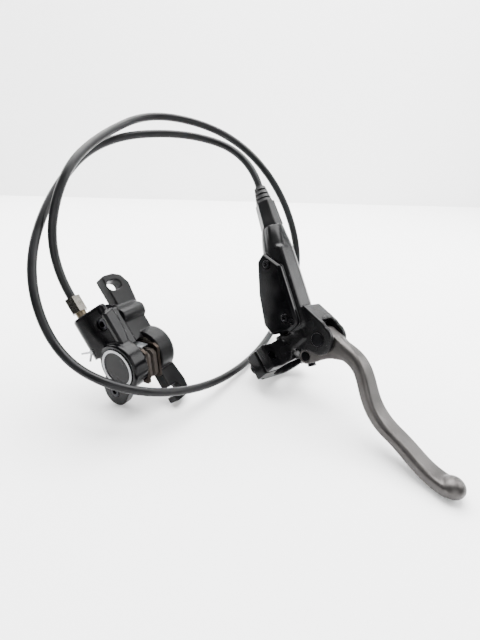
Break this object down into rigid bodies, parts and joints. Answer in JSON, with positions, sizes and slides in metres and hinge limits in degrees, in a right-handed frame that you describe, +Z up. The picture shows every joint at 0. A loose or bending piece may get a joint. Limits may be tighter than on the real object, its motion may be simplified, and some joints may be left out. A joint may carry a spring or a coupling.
{
  "type": "hydraulic disc brake",
  "caption": "Bicycle hydraulic disc brake: a brake lever with its master cylinder and hinged bar clamp, a looped hose and a caliper with slotted mounting ears.",
  "frame": {"origin": "centre of the bounding box on the surface that the brake lies on, without the hose", "axes": "+Z up from the surface; +X from the caliper to the lever's blade; +Y away from the viewer"},
  "size_m": [0.2284, 0.1996, 0.1604],
  "materials": {
    "body_paint": "satin dark grey paint on cast aluminium",
    "blade_metal": "satin grey anodised",
    "gloss_black": "gloss",
    "steel": "plain",
    "black_steel": "black oxide",
    "aluminium": "machined",
    "brass": "plain",
    "rubber": "matte",
    "black_plastic": "matte",
    "hose_plastic": "satin",
    "caliper_gloss": "gloss black paint",
    "caliper_matte": "matte black paint",
    "pad_steel": "plain, tanned",
    "pad_lining": "resin friction material",
    "bright_ring": "bright"
  },
  "bodies": {
    "brake_housings": {"lever_body": "body_paint", "clamp_cap": "body_paint", "clamp_hinge_pin": "steel", "clamp_bolt": "black_steel", "reservoir_diaphragm": "rubber", "reservoir_lid": "gloss_black", "lid_screws": "black_steel", "lever_bleed_screw": "steel", "blade_pivot_pin": "steel", "retaining_ring": "steel", "piston_spring": "steel", "lever_hose_olive": "brass", "lever_hose_bolt": "steel", "lever_hose_insert": "steel", "hose_sleeve": "black_plastic", "hose_boot": "rubber", "hose": "hose_plastic", "caliper_hose_half": "caliper_gloss", "caliper_mount_half": "caliper_matte", "caliper_body_bolts": "steel", "passage_o_ring": "rubber", "piston_seals": "rubber", "pad_spring": "steel", "split_pin": "steel", "bore_cap": "gloss_black", "bore_cap_ring": "bright_ring", "caliper_bleed_plug": "black_steel", "hose_nut": "bright_ring", "hose_nut_neck": "brass"},
    "blade": {"lever_blade": "blade_metal", "blade_bush": "brass"},
    "push_rod": {"push_rod": "black_steel", "adjuster_barrel": "black_steel"},
    "master_piston": {"master_piston": "aluminium", "primary_cup": "rubber", "secondary_cup": "rubber"},
    "hose_side_pad": {"piston_hose_side": "aluminium", "pad_plate_hose_side": "pad_steel", "pad_lining_hose_side": "pad_lining"},
    "mount_side_pad": {"piston_mount_side": "aluminium", "pad_plate_mount_side": "pad_steel", "pad_lining_mount_side": "pad_lining"}
  },
  "joints": [
    {"name": "blade_squeeze", "type": "hinge", "parent": "brake_housings", "child": "blade", "pos_m": [0.04941, 0.00299, 0.04317], "axis": [0.761, 0.615, -0.2066], "range_deg": [0, 22], "stiffness_Nm_per_rad": 1, "springref_deg": -22.92},
    {"name": "push_rod_swing", "type": "hinge", "parent": "blade", "child": "push_rod", "pos_m": [0.04218, 0.00671, 0.02764], "axis": [0.761, 0.615, -0.2066], "range_deg": [-17.5, 0]},
    {"name": "master_piston_slide", "type": "slide", "parent": "brake_housings", "child": "master_piston", "axis": [-0.2824, 0.6007, 0.7479], "range_m": [0, 0.0063], "deforming": ["piston_spring"]},
    {"name": "hose_side_pad_slide", "type": "slide", "parent": "brake_housings", "child": "hose_side_pad", "axis": [0.5243, 0.8474, -0.084], "range_m": [0, 0.00065]},
    {"name": "mount_side_pad_slide", "type": "slide", "parent": "brake_housings", "child": "mount_side_pad", "axis": [-0.5243, -0.8474, 0.084], "range_m": [0, 0.00065]}
  ],
  "couplings": [
    {"joint": "push_rod_swing", "follows": "blade_squeeze", "ratio": -0.79},
    {"joint": "master_piston_slide", "follows": "blade_squeeze", "m_per_rad": 0.01618},
    {"joint": "hose_side_pad_slide", "follows": "blade_squeeze", "m_per_rad": 0.00167},
    {"joint": "mount_side_pad_slide", "follows": "blade_squeeze", "m_per_rad": 0.00167}
  ]
}
